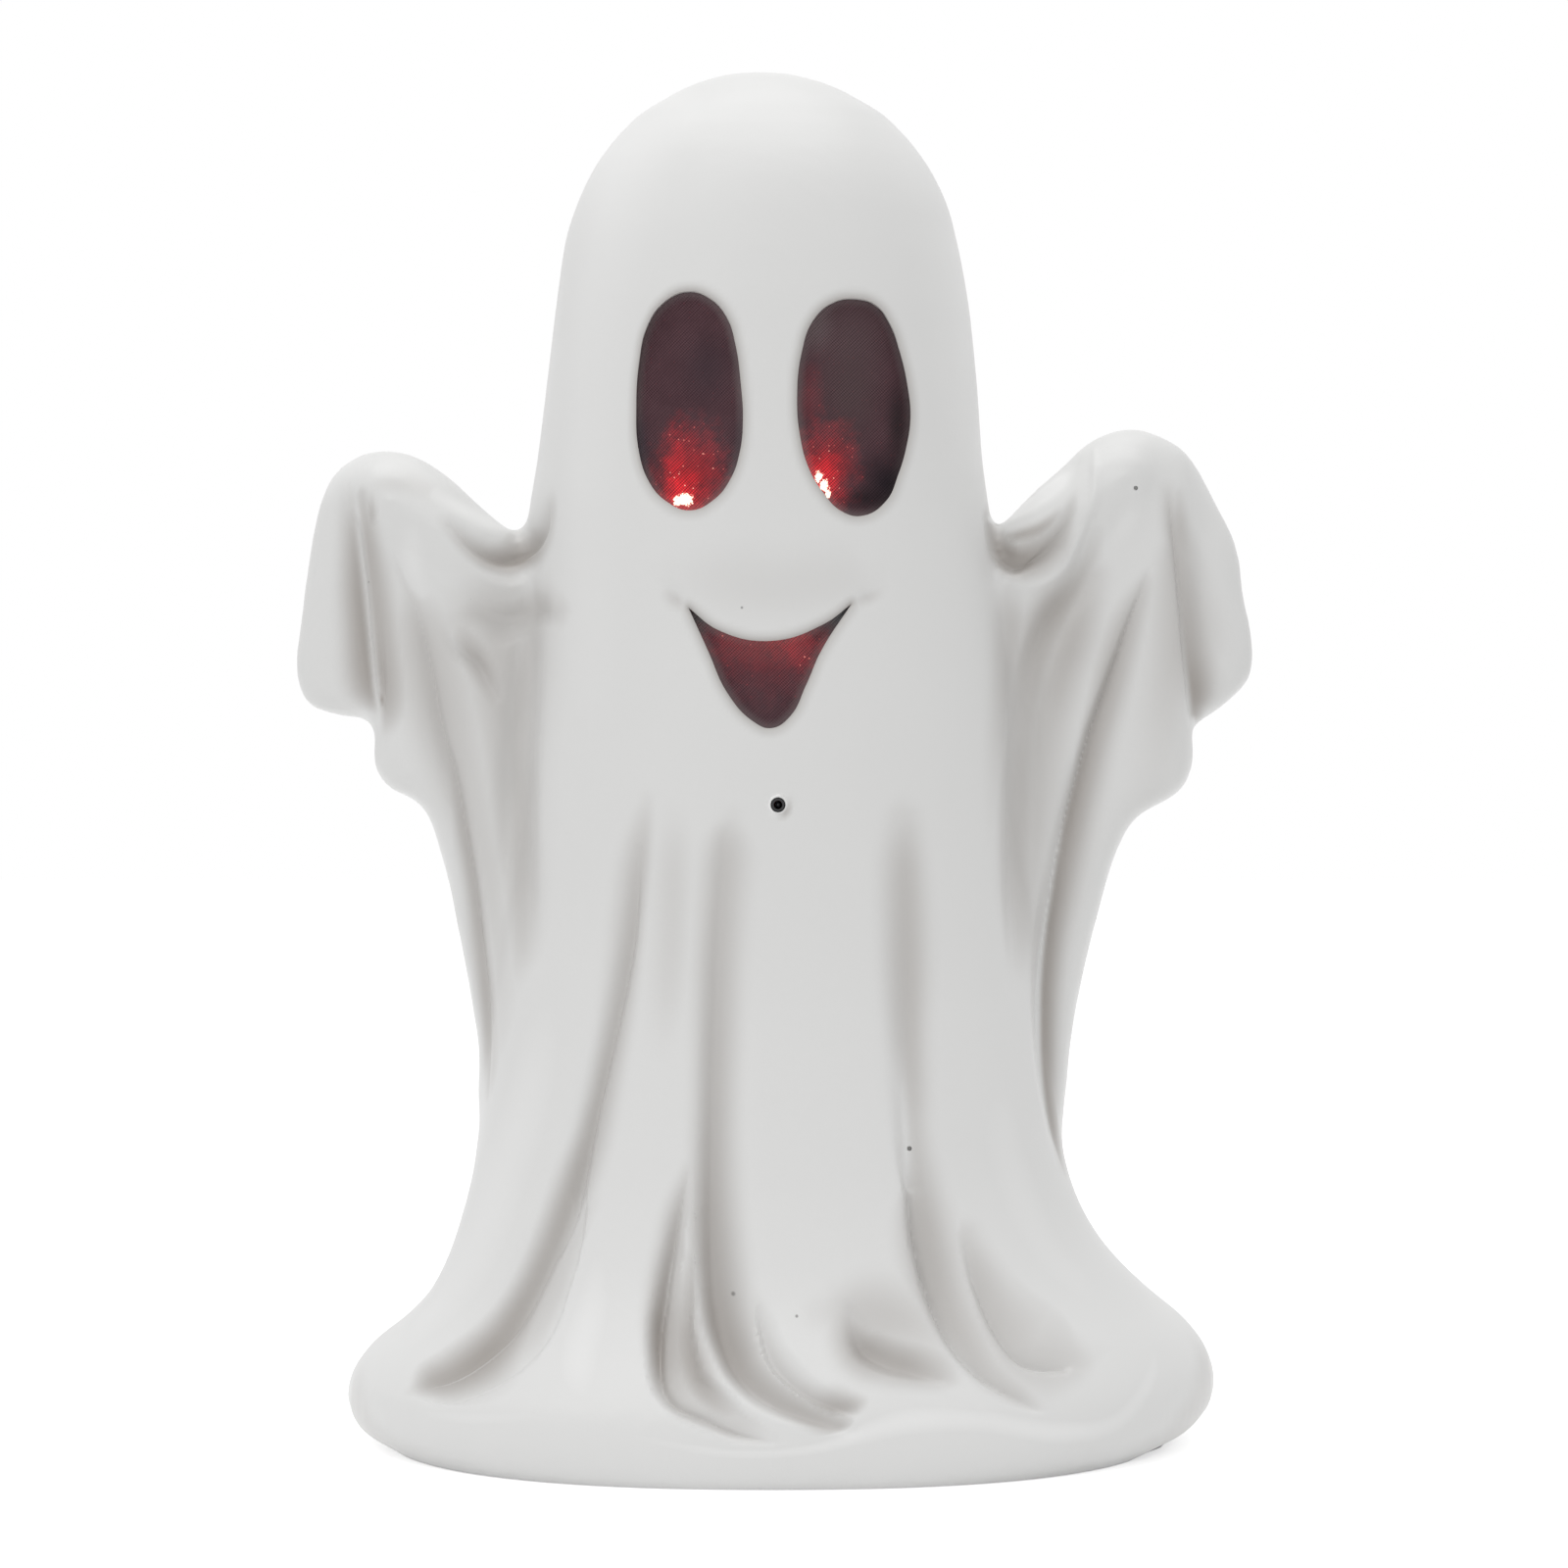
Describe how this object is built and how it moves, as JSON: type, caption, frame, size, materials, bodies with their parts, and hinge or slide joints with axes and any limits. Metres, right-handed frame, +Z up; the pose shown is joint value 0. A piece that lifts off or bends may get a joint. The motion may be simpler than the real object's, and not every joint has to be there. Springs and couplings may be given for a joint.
{
  "type": "light-up ghost figure",
  "caption": "Hollow moulded sheet-ghost figure with raised arms, dark cloth behind its eyes and mouth, red lamps inside, a chest sensor, and a base plate with battery door, switch and speaker.",
  "frame": {"origin": "on the surface that the figure stands on, below the middle of its box", "axes": "+Z up, the face looks along -Y, +X is to the viewer's right"},
  "size_m": [0.3536, 0.2295, 0.4997],
  "materials": {
    "shell_white": "matte moulded white, shaded grey in its folds",
    "dark_cloth": "fine dark open weave",
    "black_plastic": "fine satin grain",
    "white_plastic": "satin",
    "clear_red": "clear red lamp body",
    "dark_lens": "polished dark lens",
    "steel": "plain plated steel",
    "pad_rubber": "matte",
    "board_green": "solder-resist green",
    "cell_wrap": "plain shrink wrap",
    "speaker_paper": "pressed paper",
    "lead_red": "smooth insulation"
  },
  "bodies": {
    "figure": {"base_plate": "black_plastic", "base_screw_1": "steel", "base_screw_2": "steel", "base_screw_3": "steel", "base_screw_4": "steel", "battery_1": "cell_wrap", "battery_2": "cell_wrap", "battery_3": "cell_wrap", "battery_box": "black_plastic", "battery_box_screw_1": "steel", "battery_box_screw_2": "steel", "battery_contact_1": "steel", "battery_contact_2": "steel", "battery_contact_3": "steel", "battery_lead": "lead_red", "battery_spring_1": "steel", "battery_spring_2": "steel", "battery_spring_3": "steel", "board_screw_1": "steel", "board_screw_2": "steel", "bracket_screw_1": "steel", "bracket_screw_2": "steel", "circuit_board": "board_green", "foot_pad_1": "pad_rubber", "foot_pad_2": "pad_rubber", "foot_pad_3": "pad_rubber", "foot_pad_4": "pad_rubber", "ghost_shell": "shell_white", "lamp_bracket": "white_plastic", "lamp_lead": "lead_red", "lamp_left": "clear_red", "lamp_right": "clear_red", "left_eye_cloth": "dark_cloth", "mouth_cloth": "dark_cloth", "right_eye_cloth": "dark_cloth", "sensor_lead": "lead_red", "sensor_lens": "dark_lens", "sensor_sleeve": "black_plastic", "sound_chip": "black_plastic", "speaker_basket": "steel", "speaker_cone": "speaker_paper", "speaker_lead": "lead_red", "speaker_magnet": "steel", "switch_body": "steel"},
    "door": {"battery_door": "black_plastic", "battery_door_screw": "steel"},
    "slider": {"switch_slider": "black_plastic"}
  },
  "joints": [
    {"name": "battery_door_hinge", "type": "hinge", "parent": "figure", "child": "door", "pos_m": [-0.03075, 0.033, 0.0026], "axis": [0, 1, 0], "range_deg": [0, 85]},
    {"name": "switch_slide", "type": "slide", "parent": "figure", "child": "slider", "axis": [-1, 0, 0], "range_m": [0, 0.004]}
  ]
}
